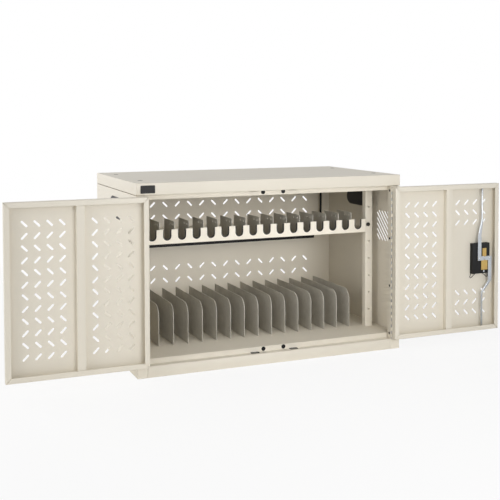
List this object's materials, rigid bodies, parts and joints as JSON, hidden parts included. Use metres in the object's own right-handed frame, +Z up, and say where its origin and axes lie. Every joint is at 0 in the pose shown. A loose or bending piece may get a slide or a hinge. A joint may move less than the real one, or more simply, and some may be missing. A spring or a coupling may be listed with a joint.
{
  "type": "laptop charging cabinet",
  "caption": "Steel laptop charging cabinet on a plinth, with slotted double doors, a rod lock, upright laptop bays and a comb-front shelf for chargers.",
  "frame": {"origin": "middle of the footprint, on the underside of the base pan", "axes": "+Z up, -Y the front with the doors, +X the viewer's right facing the front"},
  "size_m": [2.115, 0.689, 0.74],
  "materials": {
    "putty_powder_coat": "fine satin powder coat",
    "grey_powder_coat": "satin powder coat",
    "black_plastic": "fine moulded texture",
    "zinc_plate": "bright zinc plate",
    "yellow_zinc_plate": "yellow passivated zinc plate",
    "black_rubber": "matte"
  },
  "bodies": {
    "cabinet": {"base_pan": "putty_powder_coat", "plinth_front": "putty_powder_coat", "floor_pan": "putty_powder_coat", "left_side_panel": "putty_powder_coat", "right_side_panel": "putty_powder_coat", "back_panel": "putty_powder_coat", "top_panel": "putty_powder_coat", "header_rail": "putty_powder_coat", "left_rack_post": "putty_powder_coat", "right_rack_post": "putty_powder_coat", "cord_shelf": "putty_powder_coat", "left_hinge": "putty_powder_coat", "right_hinge": "putty_powder_coat", "charger_divider_01": "grey_powder_coat", "charger_divider_02": "grey_powder_coat", "charger_divider_03": "grey_powder_coat", "charger_divider_04": "grey_powder_coat", "charger_divider_05": "grey_powder_coat", "charger_divider_06": "grey_powder_coat", "charger_divider_07": "grey_powder_coat", "charger_divider_08": "grey_powder_coat", "charger_divider_09": "grey_powder_coat", "charger_divider_10": "grey_powder_coat", "charger_divider_11": "grey_powder_coat", "charger_divider_12": "grey_powder_coat", "charger_divider_13": "grey_powder_coat", "charger_divider_14": "grey_powder_coat", "charger_divider_15": "grey_powder_coat", "laptop_divider_01": "grey_powder_coat", "laptop_divider_02": "grey_powder_coat", "laptop_divider_03": "grey_powder_coat", "laptop_divider_04": "grey_powder_coat", "laptop_divider_05": "grey_powder_coat", "laptop_divider_06": "grey_powder_coat", "laptop_divider_07": "grey_powder_coat", "laptop_divider_08": "grey_powder_coat", "laptop_divider_09": "grey_powder_coat", "laptop_divider_10": "grey_powder_coat", "laptop_divider_11": "grey_powder_coat", "laptop_divider_12": "grey_powder_coat", "laptop_divider_13": "grey_powder_coat", "laptop_divider_14": "grey_powder_coat", "laptop_divider_15": "grey_powder_coat", "left_cup_handle": "black_plastic", "right_cup_handle": "black_plastic", "power_strip": "black_plastic", "inlet_box": "black_plastic", "notch_liner": "black_rubber", "power_lead": "black_rubber"},
    "left_door": {"left_door": "putty_powder_coat", "left_door_stiffener": "putty_powder_coat"},
    "right_door": {"right_door": "putty_powder_coat", "right_door_stiffener": "putty_powder_coat", "handle_pan": "black_plastic"},
    "handle": {"handle_lever": "black_plastic", "lock_cam": "yellow_zinc_plate"},
    "key": {"key_cylinder": "zinc_plate"},
    "upper_rod": {"upper_rod": "zinc_plate"},
    "lower_rod": {"lower_rod": "zinc_plate"},
    "switch": {"power_switch": "black_plastic"}
  },
  "joints": [
    {"name": "left_door_hinge", "type": "hinge", "parent": "cabinet", "child": "left_door", "pos_m": [-0.52975, -0.3305, 0.368], "axis": [0, 0, 1], "range_deg": [0, 180]},
    {"name": "right_door_hinge", "type": "hinge", "parent": "cabinet", "child": "right_door", "pos_m": [0.52975, -0.3305, 0.368], "axis": [0, 0, -1], "range_deg": [0, 180]},
    {"name": "handle_turn", "type": "hinge", "parent": "right_door", "child": "handle", "pos_m": [0.98675, -0.3475, 0.362], "axis": [0, 1, 0], "range_deg": [0, 90]},
    {"name": "key_turn", "type": "hinge", "parent": "handle", "child": "key", "pos_m": [0.98675, -0.3425, 0.362], "axis": [0, 1, 0], "range_deg": [0, 90]},
    {"name": "upper_rod_slide", "type": "slide", "parent": "right_door", "child": "upper_rod", "axis": [0, 0, 1], "range_m": [0, 0.025]},
    {"name": "lower_rod_slide", "type": "slide", "parent": "right_door", "child": "lower_rod", "axis": [0, 0, -1], "range_m": [0, 0.025]},
    {"name": "switch_rock", "type": "hinge", "parent": "cabinet", "child": "switch", "pos_m": [0.446, 0.2912, 0.4225], "axis": [1, 0, 0], "range_deg": [-16, 0]}
  ],
  "couplings": [
    {"joint": "upper_rod_slide", "follows": "handle_turn", "m_per_rad": 0.0159},
    {"joint": "lower_rod_slide", "follows": "handle_turn", "m_per_rad": 0.0159}
  ]
}
